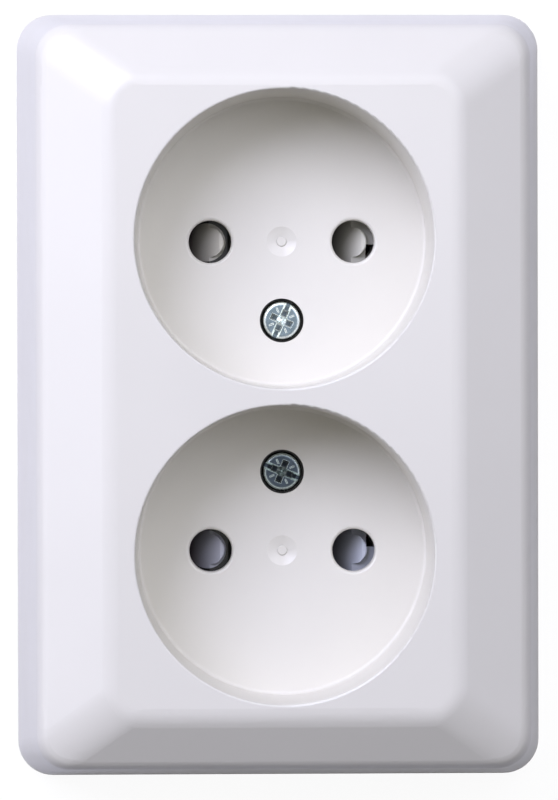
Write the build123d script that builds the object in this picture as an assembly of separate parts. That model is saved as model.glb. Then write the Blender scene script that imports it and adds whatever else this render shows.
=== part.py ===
"""Surface-mounted double socket with round recesses and sliding child-protection shutters.

Millimetres. The pieces are drawn with the socket lying on its back: X to the right and Y up as seen
from the front, Z out of the wall. They are then stood up, so the wall is the plane Y = 0, the front
faces -Y and +Z is up. The origin is the centre of the back.
"""

from build123d import *
import os

# Outlets
pin_spacing = 19.0
outlet_pitch = 41.0
pin_diameter = 4.8
pin_length = 19.0
pin_tip_clearance = 0.2
pin_hole_diameter = 5.66
pin_hole_round = 0.45

# Hood outside: three rounded rectangles, at the wall, at the shoulder and at the front
projection = 36.0
slope_drop = 4.75
base_width = 71.5
base_height = 104.2
base_corner = 4.8
shoulder_width = 64.5
shoulder_height = 97.2
shoulder_corner = 4.4
front_width = 45.4
front_height = 83.5
front_corner = 4.6
shoulder_round = 2.8
crease_round = 4.5

# Hood inside
side_wall = 2.2
roof_wall = 2.4
least_corner = 0.8
rib_thickness = 1.4
rib_gap_below_floor = 0.6

# Recesses, as deep as the pins leave room for
recess_mouth_diameter = 38.8
recess_floor_diameter = 38.4
recess_wall = 1.8
recess_floor_thickness = 2.4
mouth_round = 0.3
floor_round = 0.5
gate_mark_diameter = 4.0
gate_mark_depth = 0.4
gate_nub_diameter = 1.3
gate_nub_height = 0.25

# Knock-outs for a surface cable, thinned from the inside at the top and bottom edges
knockout_width = 14.0
knockout_height = 9.0
knockout_web = 0.9
knockout_corner = 3.0

# Cover screws, each in a sunk well on the line between the outlets
screw_spread = 20.06
well_diameter = 5.84
well_depth = 2.9
well_wall = 1.5
well_tube_length = 4.6
head_diameter = 5.3
head_height = 2.3
head_round = 0.65
cover_screw_diameter = 3.0
cover_screw_length = 12.0
screw_hole_clearance = 0.2
slot_width = 0.6
slot_depth = 0.9
slot_chamfer = 0.22
cross_length = 3.1
cross_width = 0.85
cross_core = 1.45
cross_draft = 0.2
cross_depth = 1.3
cross_point = 0.4
tick_start = 1.15
tick_end = 1.75
tick_width = 0.16
tick_depth = 0.1
upper_slot_angle = 66.3
lower_slot_angle = -21.5

# Base plate and its posts
plate_thickness = 2.4
plate_clearance = 0.3
lip_height = 6.0
lip_thickness = 1.4
insert_diameter = 5.0
insert_length = 6.0
insert_bore_clearance = 0.05
screw_tip_clearance = 0.6
post_relief_clearance = 0.3
pin_pocket_depth = 0.8
pin_pocket_clearance = 0.6
wall_hole_diameter = 4.4
wall_hole_spread_x = 44.0
wall_hole_spread_y = 76.0
wall_boss_diameter = 9.0
wall_boss_height = 1.6
entry_width = 18.0
entry_height = 11.0
entry_corner = 3.0
entry_offset = 38.0
barrier_thickness = 1.4
barrier_height = 12.5

# Busbars and the pegs that stake them to the base plate
bar_width = 9.0
bar_thickness = 1.2
bar_corner = 2.25
bar_overrun = 7.0
bar_hole_clearance = 0.05
peg_diameter = 2.4
peg_offset = 10.8
peg_clearance = 0.1
peg_head_diameter = 4.0
peg_head_height = 0.8

# Contact sleeves and their spring rings
sleeve_wall = 0.6
sleeve_waist_clearance = 0.05
sleeve_root_clearance = 0.35
sleeve_mouth_flare = 0.6
sleeve_mouth_depth = 1.9
sleeve_taper_length = 2.0
sleeve_collar_width = 0.4
sleeve_collar_height = 0.6
sleeve_slit_width = 0.9
sleeve_uncut_length = 2.2
sleeve_top_gap = 0.4
ring_wire = 0.7
ring_gap = 0.12
shroud_clearance = 1.0
shroud_wall = 1.1
shroud_window_clearance = 0.3

# Terminals
terminal_width = 8.0
terminal_length = 13.0
terminal_height = 7.4
terminal_pitch = 6.6
terminal_chamfer = 0.5
terminal_back_wall = 1.2
wire_hole_diameter = 3.0
wire_hole_rise = 2.6
terminal_screw_diameter = 3.5
terminal_screw_clearance = 0.05
terminal_head_diameter = 5.0
terminal_head_height = 1.8
terminal_head_round = 0.3
terminal_slot_width = 0.9
terminal_slot_depth = 1.0
terminal_screw_rise = 1.2
terminal_tip_rise = 0.6

# Shutters: a slide with a ramped blade behind each pin hole
shutter_travel = 5.8
shutter_width = 8.6
shutter_strip = 1.2
blade_left = 3.1
left_blade_margin = 2.35
right_blade_margin = 3.2
ramp_foot_height = 1.0
nose_radius = 1.95
nose_round = 0.25
crest_length = 0.7
crest_gap = 0.5
shoulder_step = 1.1
notch_width = 1.4
notch_length = 3.4
notch_start = 0.3
tail_thickness = 1.0
tail_gap = 1.0
spigot_diameter = 1.7
spigot_length = 2.2
spigot_gap = 0.65

# Shutter trays, fixed behind the recess floors
tray_wall = 1.2
tray_side_clearance = 0.2
tray_floor_clearance = 0.15
tray_depth = 7.6
tray_pin_clearance = 0.6
tray_spigot_length = 1.25
tray_lug_diameter = 6.0
tray_lug_thickness = 1.6
tray_lug_x = 12.0
tray_lug_y = 8.4
tray_boss_diameter = 4.8
tray_boss_length = 3.0
tray_screw_diameter = 2.2
tray_screw_length = 4.5
tray_screw_tip_clearance = 0.3
tray_thread_clearance = 0.05
tray_head_diameter = 4.2
tray_head_height = 1.5
tray_head_round = 0.4
tray_slot_width = 0.7
tray_slot_depth = 0.6

# Shutter springs
spring_wire = 0.4
spring_diameter = 3.0
spring_turns = 7
spring_end_gap = 0.15

# Working lengths: how far a cut runs past a surface, how far joined pieces run into each other, and
# how far the flat beside a rounded mouth runs on past the round
overshoot = 1.0
bite = 0.5
tangent_margin = 0.1
level_tolerance = 0.01

# Heights above the wall and places that follow from the sizes above
shoulder_level = projection - slope_drop
pocket_level = plate_thickness - pin_pocket_depth
floor_level = pocket_level + pin_tip_clearance + pin_length
floor_back = floor_level - recess_floor_thickness
seat_level = floor_level - well_depth
post_top = floor_back - well_tube_length
bar_top = plate_thickness + bar_thickness
tray_back = floor_back - tray_depth
tray_floor = tray_back + tray_wall
strip_back = tray_floor + tray_floor_clearance
sleeve_top = tray_back - sleeve_top_gap
sleeve_waist = sleeve_top - sleeve_mouth_depth
spring_axis = (tray_floor + floor_back) / 2
tray_lug_top = floor_back - tray_boss_length
tray_screw_seat = tray_lug_top - tray_lug_thickness
wire_level = bar_top + wire_hole_rise
well_radius = well_diameter / 2
well_tube_radius = well_radius + well_wall
sleeve_bore = pin_diameter / 2 + sleeve_root_clearance
sleeve_outside = sleeve_bore + sleeve_wall
pin_xs = (-pin_spacing / 2, pin_spacing / 2)
shutter_left = -pin_spacing / 2 - blade_left
blade_end = pin_spacing / 2 + right_blade_margin
tail_end = blade_end + tail_gap + tail_thickness
spring_room = shutter_travel + spigot_length + tray_spigot_length + spigot_gap
tray_left = shutter_left - tray_side_clearance
tray_right = tail_end + spring_room
outlets = {"top": outlet_pitch / 2, "bottom": -outlet_pitch / 2}
cover_screws = {"top": screw_spread / 2, "bottom": -screw_spread / 2}


def hood_form(inset=0.0, roof=0.0):
    """The hood's drafted block, drawn in by inset at its sides and by roof at its front."""
    rings = (
        (base_width, base_height, 0.0, base_corner),
        (shoulder_width, shoulder_height, shoulder_level - roof, shoulder_corner),
        (front_width, front_height, projection - roof, front_corner),
    )
    sections = [
        Pos(0, 0, level)
        * RectangleRounded(width - 2 * inset, height - 2 * inset, max(corner - inset, least_corner))
        for width, height, level, corner in rings
    ]
    return loft(sections, ruled=True)


def edges_at(solid, level):
    """The edges that lie at one height above the wall."""
    return solid.edges().filter_by_position(Axis.Z, level - level_tolerance, level + level_tolerance)


def section(points, rounds=()):
    """A flat outline; rounds lists (corner, radius) for the corners that are rounded."""
    face = make_face(Polyline(*points, close=True))
    for corner, radius in rounds:
        nearest = face.vertices().sort_by_distance((corner[0], corner[1], 0))[0]
        face = fillet(nearest, radius)
    return face


def turned(points, rounds=()):
    """A solid turned about Z from (radius, height) points."""
    return revolve(Plane.XZ * section(points, rounds), Axis.Z)


def rod(radius, bottom, top):
    """A plain cylinder on the Z axis between two heights."""
    return Pos(0, 0, bottom) * extrude(Circle(radius), top - bottom)


def block(width, height, bottom, top):
    """A plain block centred on the Z axis between two heights."""
    return Pos(0, 0, bottom) * extrude(Rectangle(width, height), top - bottom)


def recess_space():
    """The air in one recess: flat floor, slightly tapered wall, both ends of the wall rounded."""
    foot = (recess_floor_diameter / 2, floor_level)
    mouth = (recess_mouth_diameter / 2, projection)
    beyond = mouth[0] + mouth_round + tangent_margin
    top = projection + overshoot
    points = [(0, floor_level), foot, mouth, (beyond, projection), (beyond, top), (0, top)]
    return turned(points, [(foot, floor_round), (mouth, mouth_round)])


def pin_hole_space():
    """The air in one pin hole, with its rounded front edge."""
    radius = pin_hole_diameter / 2
    edge = (radius, floor_level)
    beyond = radius + pin_hole_round + overshoot
    below = floor_back - overshoot
    top = floor_level + overshoot
    points = [(0, below), (radius, below), edge, (beyond, floor_level), (beyond, top), (0, top)]
    return turned(points, [(edge, pin_hole_round)])


def screw_well_space():
    """The air in one screw well: a sunk seat for the head and a clearance hole through its tube."""
    shank = cover_screw_diameter / 2 + screw_hole_clearance
    below = post_top - overshoot
    top = floor_level + overshoot
    tube = [(0, below), (shank, below), (shank, seat_level)]
    well = [(well_radius, seat_level), (well_radius, top), (0, top)]
    return turned(tube + well)


def gate_mark(cover, y):
    """The shallow dish with a nub that the moulding gate leaves in the middle of a recess floor."""
    dish_radius = (gate_mark_diameter**2 / 4 + gate_mark_depth**2) / (2 * gate_mark_depth)
    dish = Pos(0, y, floor_level + dish_radius - gate_mark_depth) * Sphere(dish_radius)
    dish_bottom = floor_level - gate_mark_depth
    nub = round_head(gate_nub_diameter / 2, gate_nub_height + bite, dish_bottom - bite, gate_nub_height / 2)
    return cover - dish + Pos(0, y, 0) * nub


def cover_ribs():
    """Stiffening ribs between the recess cups and the hood's walls."""
    low = floor_back + rib_gap_below_floor
    cup = recess_floor_diameter / 2 + recess_wall / 2
    reach_x = base_width / 2 - cup
    reach_y = base_height / 2 - outlet_pitch / 2 - cup
    ribs = []
    for y in outlets.values():
        rib = block(reach_x, rib_thickness, low, projection)
        ribs += [Pos(side * (cup + reach_x / 2), y, 0) * rib for side in (-1, 1)]
        outward = 1 if y > 0 else -1
        middle = y + outward * (cup + reach_y / 2)
        ribs.append(Pos(0, middle, 0) * block(rib_thickness, reach_y, low, projection))
    return ribs


def knockout_spaces():
    """Pockets that thin the hood's top and bottom walls, where a surface cable can be let in."""
    reach = 2 * side_wall
    pocket = Pos(0, -knockout_corner / 2, 0) * RectangleRounded(
        knockout_width, 2 * knockout_height + knockout_corner, knockout_corner
    )
    upright = extrude(Plane.XZ * pocket, reach / 2, both=True)
    inner = base_height / 2 - knockout_web - reach / 2
    lean = (base_height - shoulder_height) / 2 / shoulder_level
    tilt = degrees_of(lean)
    return [
        Pos(0, inner, 0) * Rot(tilt, 0, 0) * upright,
        Pos(0, -inner, 0) * Rot(-tilt, 0, 0) * upright,
    ]


def degrees_of(slope):
    """The angle, in degrees, whose tangent is slope."""
    return Vector(1, slope).get_angle(Vector(1, 0))


def build_cover():
    """The one-piece hood with both recesses, their pin holes and screw wells, and its ribs and bosses."""
    outside = hood_form()
    outside = fillet(edges_at(outside, shoulder_level), shoulder_round)
    outside = fillet(edges_at(outside, projection), crease_round)
    cover = outside - hood_form(side_wall, roof_wall)
    cup_radius = recess_mouth_diameter / 2 + recess_wall
    inside = []
    for y in outlets.values():
        inside.append(Pos(0, y, 0) * rod(cup_radius, floor_back, projection))
        boss = rod(tray_boss_diameter / 2, tray_lug_top, floor_back + bite)
        inside += [Pos(x, y + dy, 0) * boss for x, dy in tray_fixings(y)]
    for y in cover_screws.values():
        inside.append(Pos(0, y, 0) * rod(well_tube_radius, post_top, floor_back + bite))
    inside += cover_ribs()
    core = hood_form(side_wall / 2, roof_wall / 2)
    for piece in inside:
        cover += piece & core
    for y in outlets.values():
        cover -= Pos(0, y, 0) * recess_space()
        for x in pin_xs:
            cover -= Pos(x, y, 0) * pin_hole_space()
        tip = tray_screw_seat + tray_screw_length + tray_screw_tip_clearance
        pilot = rod(tray_screw_diameter / 2, tray_lug_top - overshoot, tip)
        for x, dy in tray_fixings(y):
            cover -= Pos(x, y + dy, 0) * pilot
        cover = gate_mark(cover, y)
    for y in cover_screws.values():
        cover -= Pos(0, y, 0) * screw_well_space()
    for pocket in knockout_spaces():
        cover -= pocket
    return cover


def tray_fixings(y):
    """Where a tray's two screws stand, from its outlet's centre: on the side away from the cover screws."""
    outward = 1 if y > 0 else -1
    return [(-tray_lug_x, outward * tray_lug_y), (tray_lug_x, outward * tray_lug_y)]


def round_head(radius, height, seat, corner):
    """A round head from its seat upwards, with a rounded top edge."""
    top = seat + height
    return turned([(0, seat), (radius, seat), (radius, top), (0, top)], [((radius, top), corner)])


def chamfered_slot(length, width, chamfer, bottom, top):
    """The air in a straight slot along X, opened out at the surface that it is cut into."""
    half = width / 2
    above = top + overshoot
    side = [(half, bottom), (half, top - chamfer), (half + chamfer, top), (half + chamfer, above)]
    outline = side + [(-y, z) for y, z in reversed(side)]
    return extrude(Plane.YZ * section(outline), length / 2, both=True)


def drafted_arm(length, width, bottom, top):
    """A block whose four sides lean in towards its bottom."""
    foot = Pos(0, 0, bottom) * Rectangle(length - 2 * cross_draft, width - cross_draft)
    mouth = Pos(0, 0, top) * Rectangle(length, width)
    return loft([foot, mouth]) + block(length, width, top, top + overshoot)


def build_cover_screw(slot_angle):
    """A cover screw with a slot over a drafted cross recess, and a tick between each two of its arms."""
    top = seat_level + head_height
    cross_bottom = top - cross_depth
    screw = round_head(head_diameter / 2, head_height, seat_level, head_round)
    screw += rod(cover_screw_diameter / 2, seat_level - cover_screw_length, seat_level + bite)
    cut = chamfered_slot(head_diameter + overshoot, slot_width, slot_chamfer, top - slot_depth, top)
    for turn in (0, 90):
        cut += Rot(0, 0, turn) * drafted_arm(cross_length, cross_width, cross_bottom, top)
    cut += Rot(0, 0, 45) * drafted_arm(cross_core, cross_core, cross_bottom, top)
    core = (cross_core - cross_draft) / 2
    cut += turned([(0, cross_bottom - cross_point), (core, cross_bottom), (core, top), (0, top)])
    tick = block(tick_end - tick_start, tick_width, top - tick_depth, top + overshoot)
    for turn in (45, 135, 225, 315):
        cut += Rot(0, 0, turn) * Pos((tick_start + tick_end) / 2, 0, 0) * tick
    return screw - Rot(0, 0, slot_angle) * cut


def build_thread_insert():
    """The brass bush in a base post that takes a cover screw."""
    bore = cover_screw_diameter / 2 + insert_bore_clearance
    bush = rod(insert_diameter / 2, post_top - insert_length, post_top)
    return bush - rod(bore, 0, post_top + overshoot)


def bar_pegs():
    """Places of the staked pegs that hold the busbars down."""
    return [(x, side * peg_offset) for x in pin_xs for side in (-1, 1)]


def build_base():
    """The base plate with its lip, screw posts, contact shrouds, wall-screw bosses and cable entries."""
    whole = hood_form(side_wall + plate_clearance)
    pocket = hood_form(side_wall + plate_clearance + lip_thickness)
    base = whole & block(base_width, base_height, 0, lip_height)
    base -= pocket & block(base_width, base_height, plate_thickness, lip_height + overshoot)
    shroud_radius = sleeve_outside + sleeve_mouth_flare + shroud_clearance
    bar_room = bar_width + 2 * shroud_window_clearance
    screw_tip = seat_level - cover_screw_length - screw_tip_clearance
    post = rod(well_tube_radius, plate_thickness - bite, post_top)
    post -= rod(insert_diameter / 2, post_top - insert_length, post_top + overshoot)
    post -= rod(cover_screw_diameter / 2 + post_relief_clearance, screw_tip, post_top)
    for y in cover_screws.values():
        base += Pos(0, y, 0) * post
    span = screw_spread - 2 * well_tube_radius
    base += block(barrier_thickness, span + 2 * bite, plate_thickness - bite, barrier_height)
    shroud = rod(shroud_radius + shroud_wall, plate_thickness, sleeve_top)
    shroud -= rod(shroud_radius, plate_thickness - overshoot, sleeve_top + overshoot)
    shroud -= block(bar_room, 4 * shroud_radius, plate_thickness, bar_top + shroud_window_clearance)
    pin_room = rod((pin_diameter + pin_pocket_clearance) / 2, pocket_level, plate_thickness + overshoot)
    for y in outlets.values():
        for x in pin_xs:
            base += Pos(x, y, 0) * shroud
            base -= Pos(x, y, 0) * pin_room
    peg = rod(peg_diameter / 2, plate_thickness - bite, bar_top + peg_head_height / 2)
    peg += round_head(peg_head_diameter / 2, peg_head_height, bar_top, peg_head_height / 2)
    for x, y in bar_pegs():
        base += Pos(x, y, 0) * peg
    for x in (-wall_hole_spread_x / 2, wall_hole_spread_x / 2):
        for y in (-wall_hole_spread_y / 2, wall_hole_spread_y / 2):
            base += Pos(x, y, 0) * rod(wall_boss_diameter / 2, 0, plate_thickness + wall_boss_height)
            base -= Pos(x, y, 0) * rod(wall_hole_diameter / 2, -overshoot, projection)
    for y in (-entry_offset, entry_offset):
        outline = RectangleRounded(entry_width, entry_height, entry_corner)
        base -= Pos(0, y, -overshoot) * extrude(outline, plate_thickness + 2 * overshoot)
    return base


def build_busbar(x):
    """A busbar that joins the contacts of the two outlets on one side."""
    length = outlet_pitch + 2 * bar_overrun
    outline = RectangleRounded(bar_width, length, bar_corner)
    bar = Pos(0, 0, plate_thickness) * extrude(outline, bar_thickness)
    for y in outlets.values():
        bar -= Pos(0, y, 0) * rod(sleeve_outside + bar_hole_clearance, 0, projection)
    for y in (-peg_offset, peg_offset):
        bar -= Pos(0, y, 0) * rod(peg_diameter / 2 + peg_clearance, 0, projection)
    return Pos(x, 0, 0) * bar


def build_contact():
    """A slit sleeve that grips a pin: collared root, narrowed waist and flared mouth."""
    waist = pin_diameter / 2 + sleeve_waist_clearance
    flare = waist + sleeve_mouth_flare
    taper_foot = sleeve_waist - sleeve_taper_length
    collar = sleeve_outside + sleeve_collar_width
    collar_top = bar_top + sleeve_collar_height
    inner = [
        (sleeve_bore, plate_thickness), (sleeve_bore, taper_foot),
        (waist, sleeve_waist), (flare, sleeve_top),
    ]
    outer = [
        (flare + sleeve_wall, sleeve_top), (waist + sleeve_wall, sleeve_waist),
        (sleeve_outside, taper_foot), (sleeve_outside, collar_top), (collar, collar_top),
        (collar, bar_top), (sleeve_outside, bar_top), (sleeve_outside, plate_thickness),
    ]
    sleeve = turned(inner + outer)
    slit_foot = bar_top + sleeve_uncut_length
    return sleeve - block(4 * sleeve_outside, sleeve_slit_width, slit_foot, sleeve_top + overshoot)


def build_contact_ring():
    """The steel ring that keeps a sleeve's two halves sprung on to the pin."""
    waist = pin_diameter / 2 + sleeve_waist_clearance + sleeve_wall
    radius = waist + ring_wire / 2 + ring_gap
    return Pos(0, 0, sleeve_waist) * Torus(radius, ring_wire / 2)


def build_terminal(x):
    """A terminal block with two wire holes, open to the side, and two screw holes from the front."""
    outward = 1 if x > 0 else -1
    terminal = block(terminal_width, terminal_length, bar_top, bar_top + terminal_height)
    terminal = chamfer(terminal.edges().filter_by(Axis.Z), terminal_chamfer)
    wire_hole = Cylinder(wire_hole_diameter / 2, terminal_width, rotation=(0, 90, 0))
    screw_bore = rod(terminal_screw_diameter / 2 + terminal_screw_clearance, wire_level, projection)
    for y in (-terminal_pitch / 2, terminal_pitch / 2):
        terminal -= Pos(outward * terminal_back_wall, y, wire_level) * wire_hole
        terminal -= Pos(0, y, 0) * screw_bore
    return Pos(x, 0, 0) * terminal


def build_terminal_screw():
    """A slotted terminal screw, partly undone over an empty wire hole."""
    seat = bar_top + terminal_height + terminal_screw_rise
    screw = round_head(terminal_head_diameter / 2, terminal_head_height, seat, terminal_head_round)
    screw += rod(terminal_screw_diameter / 2, wire_level + terminal_tip_rise, seat + bite)
    top = seat + terminal_head_height
    slot_length = terminal_head_diameter + overshoot
    return screw - block(slot_length, terminal_slot_width, top - terminal_slot_depth, top + overshoot)


def build_blade(x, margin):
    """A shutter's blade: a ramp that rises to the right, a shoulder, and a nose as round as the pin."""
    crest = floor_back - crest_gap
    shoulder = crest - shoulder_step
    left = x - blade_left
    right = x + margin
    foot = strip_back + shutter_strip + ramp_foot_height
    crest_start = x + nose_radius - crest_length
    slope = (crest - foot) / (crest_start - left)
    ramp_end = left + (shoulder - foot) / slope
    under = [(left, strip_back), (right, strip_back), (right, shoulder), (ramp_end, shoulder), (left, foot)]
    above = crest + overshoot
    over = [(left, foot), (crest_start, crest), (crest_start, above), (left, above)]
    nose = round_head(nose_radius, crest - strip_back, strip_back, nose_round)
    nose = Pos(x, 0, 0) * nose - extrude(Plane.XZ * section(over), shutter_width, both=True)
    return extrude(Plane.XZ * section(under), shutter_width / 2, both=True) + nose


def build_shutter(y):
    """The shutter slide: two ramped blades on a strip, with a window for the right pin when it is open."""
    inward = -1 if y > 0 else 1
    strip_top = strip_back + shutter_strip
    length = tail_end - shutter_left
    middle = (tail_end + shutter_left) / 2
    slide = Pos(middle, 0, 0) * block(length, shutter_width, strip_back, strip_top)
    for x, margin in zip(pin_xs, (left_blade_margin, right_blade_margin)):
        slide += build_blade(x, margin)
    tail = block(tail_thickness, shutter_width, strip_back, floor_back - crest_gap)
    slide += Pos(tail_end - tail_thickness / 2, 0, 0) * tail
    notch = block(notch_width, notch_length, 0, projection)
    slide -= Pos(blade_end - notch_width / 2, inward * (notch_start + notch_length / 2), 0) * notch
    window_left = pin_spacing / 2 - shutter_travel - pin_diameter / 2 - tray_pin_clearance / 2
    window_right = pin_spacing / 2 - blade_left
    window = block(window_right - window_left, pin_diameter + tray_pin_clearance, 0, projection)
    slide -= Pos((window_left + window_right) / 2, 0, 0) * window
    slide += Pos(tail_end, 0, spring_axis) * spigot(spigot_length)
    return Pos(0, y, 0) * slide


def spigot(length):
    """A peg that keeps a spring's end in place, along X from where it stands; it may point either way."""
    whole = Cylinder(spigot_diameter / 2, abs(length) + bite, rotation=(0, 90, 0))
    towards = 1 if length > 0 else -1
    return Pos((length - towards * bite) / 2, 0, 0) * whole


def build_spring(y):
    """The compression spring between a shutter's tail and its tray's end wall."""
    reach = spring_room - 2 * spring_end_gap - spring_wire
    mean = (spring_diameter - spring_wire) / 2
    coil_line = Helix(reach / spring_turns, reach, mean)
    wire_end = Plane(origin=coil_line @ 0, z_dir=coil_line % 0) * Circle(spring_wire / 2)
    coil = sweep(wire_end, path=coil_line)
    start = tail_end + spring_end_gap + spring_wire / 2
    return Pos(start, y, spring_axis) * Rot(0, 90, 0) * coil


def build_tray(y):
    """The tray that guides a shutter behind its recess floor, with two screw lugs."""
    width = shutter_width + 2 * tray_side_clearance
    length = tray_right - tray_left
    middle = (tray_right + tray_left) / 2
    shell = block(length + 2 * tray_wall, width + 2 * tray_wall, tray_back, floor_back)
    room = block(length, width, tray_floor, floor_back + overshoot)
    tray = Pos(middle, 0, 0) * (shell - room)
    for x in pin_xs:
        tray -= Pos(x, 0, 0) * rod((pin_diameter + tray_pin_clearance) / 2, 0, projection)
    tray += Pos(tray_right, 0, spring_axis) * spigot(-tray_spigot_length)
    lug = rod(tray_lug_diameter / 2, tray_screw_seat, tray_lug_top)
    neck_length = tray_lug_y - width / 2
    neck = block(tray_lug_diameter, neck_length, tray_screw_seat, tray_lug_top)
    for x, dy in tray_fixings(y):
        towards = 1 if dy > 0 else -1
        tray += Pos(x, dy, 0) * lug
        tray += Pos(x, dy - towards * neck_length / 2, 0) * neck
        tray -= Pos(x, dy, 0) * rod(tray_screw_diameter / 2 + screw_hole_clearance, 0, projection)
    return Pos(0, y, 0) * tray


def build_tray_screws(y):
    """The two screws that hold a tray to the cover; they point forwards."""
    screw = Rot(180, 0, 0) * round_head(tray_head_diameter / 2, tray_head_height, 0, tray_head_round)
    screw += rod(tray_screw_diameter / 2 - tray_thread_clearance, -bite, tray_screw_length)
    slot_foot = tray_slot_depth - tray_head_height
    slot_length = tray_head_diameter + overshoot
    screw -= block(slot_length, tray_slot_width, slot_foot - tray_slot_depth - overshoot, slot_foot)
    return Compound(children=[Pos(x, y + dy, tray_screw_seat) * screw for x, dy in tray_fixings(y)])


def build_parts():
    """Every piece by name, lying on its back."""
    parts = {"cover": build_cover(), "base": build_base()}
    slot_angles = {"top": upper_slot_angle, "bottom": lower_slot_angle}
    for name, y in cover_screws.items():
        parts[f"cover_screw_{name}"] = Pos(0, y, 0) * build_cover_screw(slot_angles[name])
        parts[f"thread_insert_{name}"] = Pos(0, y, 0) * build_thread_insert()
    for name, y in outlets.items():
        parts[f"shutter_{name}"] = build_shutter(y)
        parts[f"shutter_spring_{name}"] = build_spring(y)
        parts[f"shutter_tray_{name}"] = build_tray(y)
        parts[f"tray_screws_{name}"] = build_tray_screws(y)
    for side, x in zip(("left", "right"), pin_xs):
        parts[f"busbar_{side}"] = build_busbar(x)
        parts[f"terminal_{side}"] = build_terminal(x)
        for name, y in outlets.items():
            parts[f"contact_{name}_{side}"] = Pos(x, y, 0) * build_contact()
            parts[f"contact_ring_{name}_{side}"] = Pos(x, y, 0) * build_contact_ring()
            shift = terminal_pitch / 2 if y > 0 else -terminal_pitch / 2
            parts[f"terminal_screw_{name}_{side}"] = Pos(x, shift, 0) * build_terminal_screw()
    return parts


os.makedirs("parts", exist_ok=True)
for part_name, piece in build_parts().items():
    export_step(Rot(90, 0, 0) * piece, f"parts/{part_name}.step")
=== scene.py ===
"""Looks of the surface-mounted double socket: finishes, coiled springs, wall, studio light and camera.

Metres. The wall is the plane Y = 0, the front faces -Y and +Z is up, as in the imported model.
"""

import math

import bpy
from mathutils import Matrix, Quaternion, Vector


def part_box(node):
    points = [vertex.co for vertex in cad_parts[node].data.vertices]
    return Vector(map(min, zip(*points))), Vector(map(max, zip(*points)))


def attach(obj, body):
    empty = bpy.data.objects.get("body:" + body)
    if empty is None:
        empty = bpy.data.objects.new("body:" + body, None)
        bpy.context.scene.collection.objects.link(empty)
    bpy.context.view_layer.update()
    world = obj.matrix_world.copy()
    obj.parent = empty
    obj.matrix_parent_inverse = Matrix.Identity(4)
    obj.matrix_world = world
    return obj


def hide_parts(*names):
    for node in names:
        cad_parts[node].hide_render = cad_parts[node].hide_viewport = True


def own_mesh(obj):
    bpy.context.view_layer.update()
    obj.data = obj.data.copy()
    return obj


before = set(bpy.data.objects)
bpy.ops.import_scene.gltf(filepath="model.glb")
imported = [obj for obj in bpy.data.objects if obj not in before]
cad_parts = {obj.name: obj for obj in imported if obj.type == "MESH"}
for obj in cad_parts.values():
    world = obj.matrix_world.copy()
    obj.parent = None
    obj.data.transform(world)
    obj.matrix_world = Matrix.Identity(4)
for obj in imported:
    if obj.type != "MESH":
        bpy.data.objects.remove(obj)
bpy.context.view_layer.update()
MM = 0.001
MICRON = 0.001 * MM
FRONT = (0.0, -1.0, 0.0)

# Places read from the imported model
cover_low, cover_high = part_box("cover")
shutter_low, shutter_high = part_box("shutter_top")
front_middle = Vector((0.0, cover_low.y, 0.0))
outlet_z = (shutter_low.z + shutter_high.z) / 2

# Patterns: the levels that a noise pattern mostly lies between, and cells for each metre
PATTERN_MIDDLE = (0.3, 0.7)
CLOUD_CELLS = 35.0
WAVE_CELLS = 60.0
GLOSS_CELLS = 120.0
GRAIN_CELLS = 6000.0
PATCH_CELLS = 900.0
METAL_GLOSS_CELLS = 2500.0
SCRATCH_CELLS = 9000.0

# Moulded plastic: how far its colour and its gloss vary, its flow waves, its grain, and the roughness
# of two of its finishes
PLASTIC_IOR = 1.49
CLOUD_CONTRAST = 0.015
GLOSS_CONTRAST = 0.08
WAVE_HEIGHT = 6.0 * MICRON
FINE_GRAIN = 0.8 * MICRON
COARSE_GRAIN = 4.0 * MICRON
GLOSSY = 0.30
SATIN = 0.42

# Metal: where its patches begin and end, the range of its gloss, and its handling marks
PATCH_LEVELS = (0.35, 0.62)
METAL_GLOSS = (0.75, 1.3)
SCRATCH_HEIGHT = 1.5 * MICRON

# Painted shade in gaps: how far a surface looks for free space, and the free shares at which it is
# painted dark and left pale
HOOD_GAP_SHADE = (1.2 * MM, 0.25, 0.45)
SCREW_GAP_SHADE = (0.8 * MM, 0.15, 0.48)
GAP_SAMPLES = 6

# Shutter ramps, painted with shade: how high they rise, and where the left ones begin and end and
# have the middle of their round nose, from the slide's left end; beyond the nose's reach they are
# painted black as shadow
RAMP_HEIGHT = 3.55 * MM
LEFT_FOOT = 0.6 * MM
LEFT_CREST = 5.2 * MM
LEFT_NOSE = 2.65 * MM
LEFT_NOSE_REACH = 2.55 * MM

# Cover screws: roughness, how much darker their patches are, and their painted highlights. A face
# that tilts from the front, or an edge that is softened, has no painted highlight at its first cosine
# and a full one at its second.
SCREW_ROUGHNESS = 0.24
SCREW_PATCHES = 0.8
HIGHLIGHT_EDGE_RADIUS = 0.15 * MM
EDGE_SAMPLES = 6
TILT_COSINES = (0.995, 0.93)
EDGE_COSINES = (0.98, 0.85)

# The screws' recess: the depths between which painted shade darkens it, how far out it reaches, and
# its middle with a painted highlight; then where the head's rim turns down into its well, with
# painted shade, and the light that is left there
DEPTH_LIT = 0.30 * MM
DEPTH_DARK = 0.75 * MM
RECESS_REACH = 2.0 * MM
CENTRE_HIGHLIGHT_FULL = 0.35 * MM
CENTRE_HIGHLIGHT_END = 0.75 * MM
RIM_LIT = 2.36 * MM
RIM_DARK = 2.50 * MM
RIM_SHADE = 0.08

# Shutter springs, and the share by which their end turns close up
SPRING_WIRE = 0.4 * MM
SPRING_TURNS = 9
SPRING_STEPS = 24
SPRING_CLOSED = -0.10
WIRE_SIDES = 10

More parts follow.
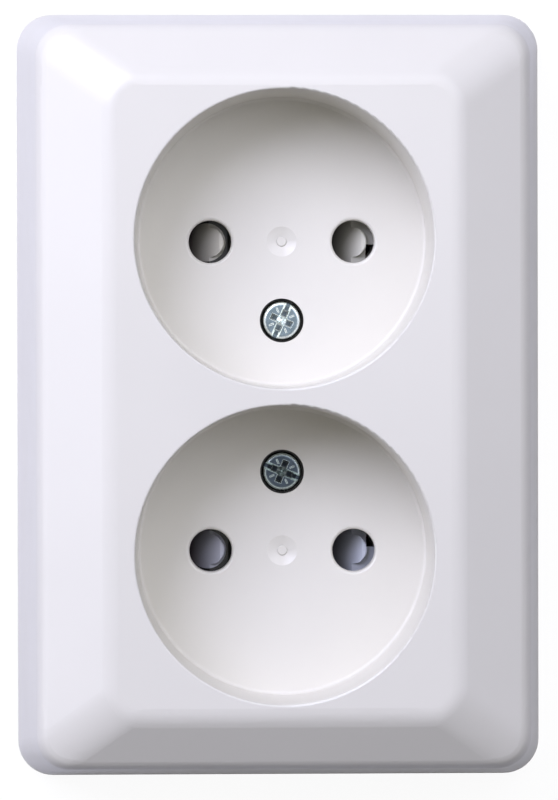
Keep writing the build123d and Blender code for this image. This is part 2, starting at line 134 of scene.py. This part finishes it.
# Wall sheet behind the hood, left open where the base plate is: its paint, how white it shows, the
# grey that keeps the shadow, and how much of the white is seen in mirrors
WALL_REACH = 0.5
WALL_CORNER = 4.8 * MM
WALL_GAP = 0.1 * MM
WALL_COLOUR = (0.70, 0.70, 0.73)
WALL_ROUGHNESS = 0.9
WALL_WHITE = 0.93
WALL_SHADOW = (0.12, 0.12, 0.12)
WALL_MIRRORED = 0.12
CORNER_STEPS = 8

# Camera, as it stood for the photograph: pixels, degrees, and its sensor's height in millimetres
IMAGE_WIDTH = 558
IMAGE_HEIGHT = 800
FOCAL_PIXELS = 4594.7
CENTRE_PIXEL = (284.9, 397.0)
CAMERA_DISTANCE = 594.7 * MM
CAMERA_YAW = 1.507
CAMERA_PITCH = 0.502
CAMERA_ROLL = -0.125
CLIP_START = 10.0 * MM
SENSOR = 36.0

# Light: soft round lamps, most of it from the upper left, and a weak warm fill from all round.
# Each lamp has the degrees that it stands away from straight in front, the degrees that it is turned
# from the right by way of the top, the light that it gives next to a lamp that shows a colour as it
# is written, and its tint.
WHITE = (1.0, 1.0, 1.0)
COOL = (0.79, 0.80, 1.0)
PLAIN = (0.855, 0.865, 1.0)
WARM = (0.955, 0.96, 1.0)
LAMPS = {
    "key": (42.0, 133.0, 0.98, COOL),
    "left": (65.0, 172.0, 0.315, PLAIN),
    "top": (25.0, 60.0, 0.255, WARM),
    "right": (45.0, 0.0, 0.13, COOL),
    "upper_right": (45.0, 45.0, 0.165, COOL),
    "back_left": (140.0, 160.0, 0.50, PLAIN),
    "back_right": (140.0, 40.0, 0.30, PLAIN),
}
LAMP_DISTANCE = 0.60
LAMP_SIZE = 0.42
FILL_COLOUR = (1.0, 0.84, 0.54)
FILL_STRENGTH = 0.03

# Numbers of the mix node's colour sockets, whose names stand in it more than once
MIX_FIRST = 6
MIX_SECOND = 7
MIX_RESULT = 2


def feed(tree, socket, value):
    """Links a pattern to a socket, or sets a plain number, direction or colour on it."""
    if isinstance(value, bpy.types.NodeSocket):
        tree.links.new(value, socket)
    elif socket.type == "RGBA":
        socket.default_value = (*value, 1.0)
    else:
        socket.default_value = value


def set_up(tree, node, **values):
    """Gives a node its sockets and settings by name, with underscores for the spaces in names."""
    for name, value in values.items():
        socket = node.inputs.get(name.replace("_", " "))
        if socket is None:
            setattr(node, name, value)
        else:
            feed(tree, socket, value)
    return node


def add_node(tree, kind, **values):
    """A new shader node with its sockets and settings."""
    return set_up(tree, tree.nodes.new(kind), **values)


def new_material(name):
    """A new material, its node tree and the principled shader in it."""
    material = bpy.data.materials.new(name)
    material.use_nodes = True
    tree = material.node_tree
    return material, tree, tree.nodes["Principled BSDF"]


def plain_name(material):
    """A material's name without the number that a second one of the same name has at its end."""
    return material.name.split(".")[0]


def object_place(tree):
    """The object's own coordinates, in metres."""
    return add_node(tree, "ShaderNodeTexCoord").outputs["Object"]


def object_axes(tree):
    """The object's own X, Y and Z, each as a pattern."""
    return add_node(tree, "ShaderNodeSeparateXYZ", Vector=object_place(tree)).outputs


def noise(tree, place, cells, detail=3.0, roughness=0.5):
    """A noise pattern with the given number of cells for each metre."""
    node = add_node(
        tree, "ShaderNodeTexNoise", Vector=place, Scale=cells, Detail=detail, Roughness=roughness
    )
    return node.outputs["Fac"]


def level(tree, value, start, end, low=0.0, high=1.0):
    """A value brought from one range to a second one, and kept within the second."""
    node = add_node(
        tree, "ShaderNodeMapRange", Value=value, From_Min=start, From_Max=end, To_Min=low, To_Max=high
    )
    return node.outputs["Result"]


def blend_colours(tree, factor, low, high, edges=(0.0, 1.0)):
    """Two colours blended by a pattern between two of its levels."""
    ramp = add_node(tree, "ShaderNodeValToRGB", Fac=factor)
    for element, edge, colour in zip(ramp.color_ramp.elements, edges, (low, high)):
        element.position = edge
        element.color = (*colour, 1.0)
    return ramp.outputs["Color"]


def mix_colours(tree, factor, first, second):
    """Two colours blended by a factor."""
    node = add_node(tree, "ShaderNodeMix", data_type="RGBA", Factor=factor)
    feed(tree, node.inputs[MIX_FIRST], first)
    feed(tree, node.inputs[MIX_SECOND], second)
    return node.outputs[MIX_RESULT]


def scaled(tree, colour, factor):
    """A colour times a pattern."""
    node = add_node(tree, "ShaderNodeVectorMath", operation="SCALE", Vector=colour, Scale=factor)
    return node.outputs["Vector"]


def math_node(tree, operation, *values):
    """One step of arithmetic on patterns or numbers."""
    node = add_node(tree, "ShaderNodeMath", operation=operation)
    for socket, value in zip(node.inputs, values):
        feed(tree, socket, value)
    return node.outputs["Value"]


def distance_from(tree, first, first_centre, second, second_centre):
    """Distance from a point in a plane, from two coordinates."""
    off_first = math_node(tree, "SUBTRACT", first, first_centre)
    off_second = math_node(tree, "SUBTRACT", second, second_centre)
    squares = [math_node(tree, "POWER", off, 2.0) for off in (off_first, off_second)]
    return math_node(tree, "SQRT", math_node(tree, "ADD", *squares))


def bump(tree, height, distance, under=None):
    """A normal bent by a height pattern, on top of another normal if one is given."""
    node = add_node(tree, "ShaderNodeBump", Height=height, Distance=distance)
    if under is not None:
        feed(tree, node.inputs["Normal"], under)
    return node.outputs["Normal"]


def painted_gap_shade(tree, colour, reach, closed, free):
    """A colour with painted shade: dark where little of the space within reach is free."""
    node = add_node(tree, "ShaderNodeAmbientOcclusion", samples=GAP_SAMPLES, Distance=reach)
    return scaled(tree, colour, level(tree, node.outputs["AO"], closed, free))


def away_from(tree, normal, direction, start, end):
    """How far a normal turns from a direction: 0 up to the cosine start, 1 from the cosine end."""
    turned = add_node(tree, "ShaderNodeVectorMath", operation="DOT_PRODUCT")
    feed(tree, turned.inputs[0], normal)
    feed(tree, turned.inputs[1], direction)
    return level(tree, turned.outputs["Value"], start, end)


def moulded_plastic(name, colour, roughness, grain=FINE_GRAIN, gap_shade=None):
    """Injection-moulded plastic: slow flow waves, tool grain and a slightly uneven colour and gloss;
    if asked, painted shade darkens it in its gaps.
    """
    material, tree, shader = new_material(name)
    place = object_place(tree)
    darker = tuple(c * (1.0 - CLOUD_CONTRAST) for c in colour)
    paler = tuple(c * (1.0 + CLOUD_CONTRAST) for c in colour)
    cloud = blend_colours(tree, noise(tree, place, CLOUD_CELLS), darker, paler, PATTERN_MIDDLE)
    if gap_shade:
        # Painted shade in gaps, creases and corners.
        cloud = painted_gap_shade(tree, cloud, *gap_shade)
    gloss_range = (roughness * (1.0 - GLOSS_CONTRAST), roughness * (1.0 + GLOSS_CONTRAST))
    gloss = level(tree, noise(tree, place, GLOSS_CELLS), *PATTERN_MIDDLE, *gloss_range)
    waves = bump(tree, noise(tree, place, WAVE_CELLS, detail=1.0), WAVE_HEIGHT)
    grained = bump(tree, noise(tree, place, GRAIN_CELLS, detail=2.0), grain, under=waves)
    set_up(tree, shader, Base_Color=cloud, Roughness=gloss, IOR=PLASTIC_IOR, Normal=grained)
    return material


def shutter_plastic(name, foot, left, crest):
    """Satin plastic of the shutters with painted shade: dark at the foot of a ramp and pale towards its
    crest, as painted light on the ramp.

    Beyond the round nose of a left ramp it is black, a painted shadow.
    """
    material = moulded_plastic(name, crest, SATIN)
    tree = material.node_tree
    axes = object_axes(tree)
    # Painted shade: each ramp darker towards its foot and paler towards its crest.
    climb = level(tree, axes["Y"], shutter_low.y + RAMP_HEIGHT, shutter_low.y)
    right_ramp = blend_colours(tree, climb, foot, crest)
    across = level(tree, axes["X"], shutter_low.x + LEFT_FOOT, shutter_low.x + LEFT_CREST)
    left_ramp = blend_colours(tree, across, foot, left)
    height = math_node(tree, "ABSOLUTE", axes["Z"])
    # Painted shadow: black beyond the reach of the left ramp's nose.
    from_nose = distance_from(tree, axes["X"], shutter_low.x + LEFT_NOSE, height, outlet_z)
    left_ramp = scaled(tree, left_ramp, math_node(tree, "LESS_THAN", from_nose, LEFT_NOSE_REACH))
    on_left = math_node(tree, "LESS_THAN", axes["X"], 0.0)
    colour = mix_colours(tree, on_left, right_ramp, left_ramp)
    set_up(tree, tree.nodes["Principled BSDF"], Base_Color=colour)
    return material


def plated_metal(name, colour, tint, roughness):
    """Plated or drawn metal: patches of tint in the passivation, and fine handling marks."""
    material, tree, shader = new_material(name)
    place = object_place(tree)
    patches = noise(tree, place, PATCH_CELLS, detail=2.0)
    tinted = blend_colours(tree, patches, tint, colour, PATCH_LEVELS)
    gloss_range = [roughness * share for share in METAL_GLOSS]
    gloss = level(tree, noise(tree, place, METAL_GLOSS_CELLS), *PATTERN_MIDDLE, *gloss_range)
    marks = bump(tree, noise(tree, place, SCRATCH_CELLS, detail=4.0, roughness=0.6), SCRATCH_HEIGHT)
    set_up(tree, shader, Base_Color=tinted, Roughness=gloss, Metallic=1.0, Normal=marks)
    return material


def painted_highlight_share(tree, off_centre):
    """1 where a screw head has painted highlights: rounds, chamfers, edges and the recess's middle."""
    normal = add_node(tree, "ShaderNodeNewGeometry").outputs["Normal"]
    softened = add_node(tree, "ShaderNodeBevel", samples=EDGE_SAMPLES, Radius=HIGHLIGHT_EDGE_RADIUS)
    tilted = away_from(tree, normal, FRONT, *TILT_COSINES)
    edge = away_from(tree, softened.outputs["Normal"], normal, *EDGE_COSINES)
    middle = math_node(tree, "SUBTRACT", 1.0, off_centre)
    return math_node(tree, "MAXIMUM", math_node(tree, "MAXIMUM", tilted, edge), middle)


def screw_metal(name, node, face, painted_highlight, shade):
    """Zinc-plated screw: a dull face with painted highlights on its edges, and painted shade in its
    recess and down its rim.
    """
    material = plated_metal(name, face, tuple(c * SCREW_PATCHES for c in face), SCREW_ROUGHNESS)
    tree = material.node_tree
    shader = tree.nodes["Principled BSDF"]
    face_pattern = shader.inputs["Base Color"].links[0].from_socket
    low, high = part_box(node)
    axes = object_axes(tree)
    from_axis = distance_from(tree, axes["X"], (low.x + high.x) / 2, axes["Z"], (low.z + high.z) / 2)
    off_centre = level(tree, from_axis, CENTRE_HIGHLIGHT_FULL, CENTRE_HIGHLIGHT_END)
    # Painted highlight on tilted faces, softened edges and the recess's middle.
    colour = mix_colours(tree, painted_highlight_share(tree, off_centre), face_pattern, painted_highlight)
    # Painted shade deep in the recess, kept off its middle.
    dark = level(tree, axes["Y"], low.y + DEPTH_LIT, low.y + DEPTH_DARK)
    for share in (math_node(tree, "LESS_THAN", from_axis, RECESS_REACH), shade, off_centre):
        dark = math_node(tree, "MULTIPLY", dark, share)
    colour = scaled(tree, colour, math_node(tree, "SUBTRACT", 1.0, dark))
    # Painted shade where the rim turns down into its well.
    colour = scaled(tree, colour, level(tree, from_axis, RIM_LIT, RIM_DARK, 1.0, RIM_SHADE))
    # Painted shade in the gaps round the head.
    set_up(tree, shader, Base_Color=painted_gap_shade(tree, colour, *SCREW_GAP_SHADE))
    return material


def make_materials():
    """The materials by name: one for each slot of the record, and two copies for the lower outlet whose
    darker and bluer colours are painted shade and painted light.
    """
    made = (
        # The hood's white plastic gets painted shade in its gaps, creases and corners.
        moulded_plastic(
            "white_gloss_plastic", colour=(0.748, 0.73, 0.667), roughness=GLOSSY, gap_shade=HOOD_GAP_SHADE
        ),
        moulded_plastic("grey_moulding", colour=(0.30, 0.31, 0.32), roughness=SATIN, grain=COARSE_GRAIN),
        moulded_plastic("natural_plastic", colour=(0.62, 0.59, 0.52), roughness=0.40),
        # Shutter colours: foot is painted shade, and left is painted light on the left ramps' crests.
        shutter_plastic(
            "shutter_plastic",
            foot=(0.035, 0.028, 0.028),
            left=(0.84, 0.82, 0.74),
            crest=(0.66, 0.65, 0.58),
        ),
        # Painted shade and light: a darker, bluer copy of the shutter plastic for the lower outlet.
        shutter_plastic(
            "shutter_plastic_painted_blue_light",
            foot=(0.035, 0.026, 0.032),
            left=(0.62, 0.64, 0.74),
            crest=(0.50, 0.53, 0.61),
        ),
        screw_metal(
            "zinc_plated_steel",
            "cover_screw_top",
            face=(0.17, 0.22, 0.26),
            painted_highlight=(0.93, 1.0, 0.98),
            shade=0.40,
        ),
        # Painted shade: a darker copy of the upper screw's zinc for the lower screw, which sits in
        # shadow.
        screw_metal(
            "zinc_in_shade",
            "cover_screw_bottom",
            face=(0.05, 0.065, 0.085),
            painted_highlight=(0.48, 0.55, 0.55),
            shade=0.75,
        ),
        plated_metal("spring_steel", colour=(0.52, 0.53, 0.54), tint=(0.38, 0.38, 0.40), roughness=0.26),
        plated_metal("brass", colour=(0.80, 0.62, 0.30), tint=(0.70, 0.50, 0.22), roughness=0.26),
        plated_metal("bronze", colour=(0.74, 0.47, 0.29), tint=(0.62, 0.36, 0.21), roughness=0.30),
    )
    return {plain_name(material): material for material in made}


def dress_nodes(materials):
    """Gives each carried-over node the material of the slot that it was packed with, or, at the lower
    outlet, a copy with painted shade (the screw) and painted shade and bluish light (the shutter).
    """
    variants = {"cover_screw_bottom": "zinc_in_shade", "shutter_bottom": "shutter_plastic_painted_blue_light"}
    for name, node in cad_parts.items():
        for slot in node.material_slots:
            slot.material = materials[variants.get(name, plain_name(slot.material))]


def add_object(name, data):
    """A new object in the scene, at the origin."""
    thing = bpy.data.objects.new(name, data)
    bpy.context.scene.collection.objects.link(thing)
    return thing


def coil_points(low, high):
    """Points along the middle of a spring's wire, from one end of its box to the other along X."""
    radius = (high.z - low.z - SPRING_WIRE) / 2
    length = high.x - low.x - SPRING_WIRE
    middle = (low + high) / 2
    points = []
    for step in range(SPRING_TURNS * SPRING_STEPS + 1):
        share = step / (SPRING_TURNS * SPRING_STEPS)
        angle = math.tau * SPRING_TURNS * share
        climb = share + SPRING_CLOSED * math.sin(math.tau * share)
        x = low.x + SPRING_WIRE / 2 + length * climb
        y = middle.y + radius * math.cos(angle)
        z = middle.z + radius * math.sin(angle)
        points.append(Vector((x, y, z)))
    return points


def wire_mesh(name, points, middle):
    """A round wire with closed ends, along points that wind about a line along X through the middle."""
    corners, faces = [], []
    for index, point in enumerate(points):
        ahead = points[min(index + 1, len(points) - 1)] - points[max(index - 1, 0)]
        out = Vector((0.0, point.y - middle.y, point.z - middle.z)).normalized()
        over = ahead.normalized().cross(out).normalized()
        for side in range(WIRE_SIDES):
            angle = math.tau * side / WIRE_SIDES
            corners.append(point + (math.cos(angle) * out + math.sin(angle) * over) * SPRING_WIRE / 2)
    for ring in range(0, len(corners) - WIRE_SIDES, WIRE_SIDES):
        for side in range(WIRE_SIDES):
            start = ring + side
            after = ring + (side + 1) % WIRE_SIDES
            faces.append((start, after, after + WIRE_SIDES, start + WIRE_SIDES))
    faces.append(tuple(reversed(range(WIRE_SIDES))))
    faces.append(tuple(range(len(corners) - WIRE_SIDES, len(corners))))
    mesh = bpy.data.meshes.new(name)
    mesh.from_pydata(corners, [], faces)
    for polygon in mesh.polygons:
        polygon.use_smooth = len(polygon.vertices) == 4
    return mesh


def add_spring(name, material):
    """A coiled spring with closed ends in place of the plain one."""
    low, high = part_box(name)
    mesh = wire_mesh(name + "_coil", coil_points(low, high), (low + high) / 2)
    mesh.materials.append(material)
    coil = add_object(name + "_coil", mesh)
    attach(coil, "housing")
    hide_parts(name)
    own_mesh(coil)


def seen_directly(tree, mirror_share=1.0):
    """1 for what the camera sees, also through glass, and a share in mirrors; 0 for other light."""
    path = add_node(tree, "ShaderNodeLightPath")
    mirrored = math_node(tree, "MULTIPLY", path.outputs["Is Glossy Ray"], mirror_share)
    seen = math_node(tree, "MAXIMUM", path.outputs["Is Camera Ray"], mirrored)
    return math_node(tree, "MAXIMUM", seen, path.outputs["Is Transmission Ray"])


def mix_shaders(tree, factor, first, second):
    """Two shaders blended by a factor."""
    mix = add_node(tree, "ShaderNodeMixShader", Fac=factor)
    feed(tree, mix.inputs[1], first)
    feed(tree, mix.inputs[2], second)
    return mix.outputs["Shader"]


def add_world():
    """White to the camera, in mirrors and through glass; a weak warm fill for all other light."""
    world = bpy.data.worlds.new("studio")
    bpy.context.scene.world = world
    world.use_nodes = True
    tree = world.node_tree
    tree.nodes.clear()
    fill = add_node(tree, "ShaderNodeBackground", Color=FILL_COLOUR, Strength=FILL_STRENGTH)
    white = add_node(tree, "ShaderNodeBackground", Color=WHITE, Strength=1.0)
    mixed = mix_shaders(tree, seen_directly(tree), fill.outputs[0], white.outputs[0])
    add_node(tree, "ShaderNodeOutputWorld", Surface=mixed)


def rounded_outline(half_width, half_height, corner):
    """Points round a rectangle with round corners, upright in the wall plane."""
    points = []
    for quarter in range(4):
        side_x = half_width - corner if quarter in (0, 3) else corner - half_width
        side_z = half_height - corner if quarter in (0, 1) else corner - half_height
        for step in range(CORNER_STEPS + 1):
            angle = math.radians(90.0 * (quarter + step / CORNER_STEPS))
            points.append((side_x + corner * math.cos(angle), 0.0, side_z + corner * math.sin(angle)))
    return points


def wall_paint():
    """Pale paint that is white to the camera but for a faint shadow, and open when seen from behind."""
    material, tree, shader = new_material("wall_paint")
    set_up(tree, shader, Base_Color=WALL_COLOUR, Roughness=WALL_ROUGHNESS)
    glow = add_node(tree, "ShaderNodeEmission", Color=WHITE, Strength=WALL_WHITE)
    shadow = add_node(tree, "ShaderNodeBsdfDiffuse", Color=WALL_SHADOW)
    shown = add_node(tree, "ShaderNodeAddShader")
    feed(tree, shown.inputs[0], glow.outputs[0])
    feed(tree, shown.inputs[1], shadow.outputs[0])
    front = mix_shaders(tree, seen_directly(tree, WALL_MIRRORED), shader.outputs[0], shown.outputs[0])
    behind = add_node(tree, "ShaderNodeNewGeometry").outputs["Backfacing"]
    clear = add_node(tree, "ShaderNodeBsdfTransparent").outputs[0]
    set_up(tree, tree.nodes["Material Output"], Surface=mix_shaders(tree, behind, front, clear))
    return material


def add_wall():
    """The wall that the hood stands on; it gives light back and keeps the hood's shadow."""
    half_width = (cover_high.x - cover_low.x) / 2 + WALL_GAP
    half_height = (cover_high.z - cover_low.z) / 2 + WALL_GAP
    hole = rounded_outline(half_width, half_height, WALL_CORNER)
    edge = rounded_outline(WALL_REACH, WALL_REACH, WALL_CORNER)
    count = len(hole)
    faces = [(k, count + k, count + (k + 1) % count, (k + 1) % count) for k in range(count)]
    mesh = bpy.data.meshes.new("wall")
    mesh.from_pydata(hole + edge, [], faces)
    mesh.materials.append(wall_paint())
    wall = add_object("wall", mesh)


def aim(thing, place, target, roll=0.0):
    """Puts a lamp or a camera at a place, looking at a target, rolled about its line of sight."""
    towards = (target - place).to_track_quat("-Z", "Y")
    thing.location = place
    thing.rotation_euler = (towards @ Quaternion((0.0, 0.0, 1.0), roll)).to_euler()


def add_lamp(name, away, turn, light, tint):
    """A round area lamp that looks at the middle of the object's front.

    Its power grows with the square of the distance, so that the light on the object stays as given.
    """
    away, turn = math.radians(away), math.radians(turn)
    side = Vector((math.cos(turn), 0.0, math.sin(turn)))
    direction = math.sin(away) * side + math.cos(away) * Vector(FRONT)
    data = bpy.data.lights.new(name, "AREA")
    data.shape = "DISK"
    data.size = LAMP_SIZE
    data.energy = light * (math.pi * LAMP_DISTANCE) ** 2
    data.color = tint
    aim(add_object(name, data), front_middle + direction * LAMP_DISTANCE, front_middle)


def add_camera():
    """The camera at the photograph's angle, distance and framing."""
    yaw, pitch = math.radians(CAMERA_YAW), math.radians(CAMERA_PITCH)
    away = Vector((-math.sin(yaw) * math.cos(pitch), -math.cos(yaw) * math.cos(pitch), math.sin(pitch)))
    data = bpy.data.cameras.new("camera")
    data.sensor_fit = "VERTICAL"
    data.sensor_height = SENSOR
    data.lens = FOCAL_PIXELS * SENSOR / IMAGE_HEIGHT
    data.shift_x = (IMAGE_WIDTH / 2 - CENTRE_PIXEL[0]) / IMAGE_HEIGHT
    data.shift_y = (CENTRE_PIXEL[1] - IMAGE_HEIGHT / 2) / IMAGE_HEIGHT
    data.clip_start = CLIP_START
    camera = add_object("camera", data)
    aim(camera, front_middle + away * CAMERA_DISTANCE, front_middle, math.radians(CAMERA_ROLL))
    bpy.context.scene.camera = camera


materials = make_materials()
dress_nodes(materials)
for outlet in ("top", "bottom"):
    add_spring(f"shutter_spring_{outlet}", materials["spring_steel"])
add_world()
add_wall()
for lamp_name, lamp_values in LAMPS.items():
    add_lamp(lamp_name, *lamp_values)
add_camera()
bpy.context.scene.view_settings.view_transform = "Standard"
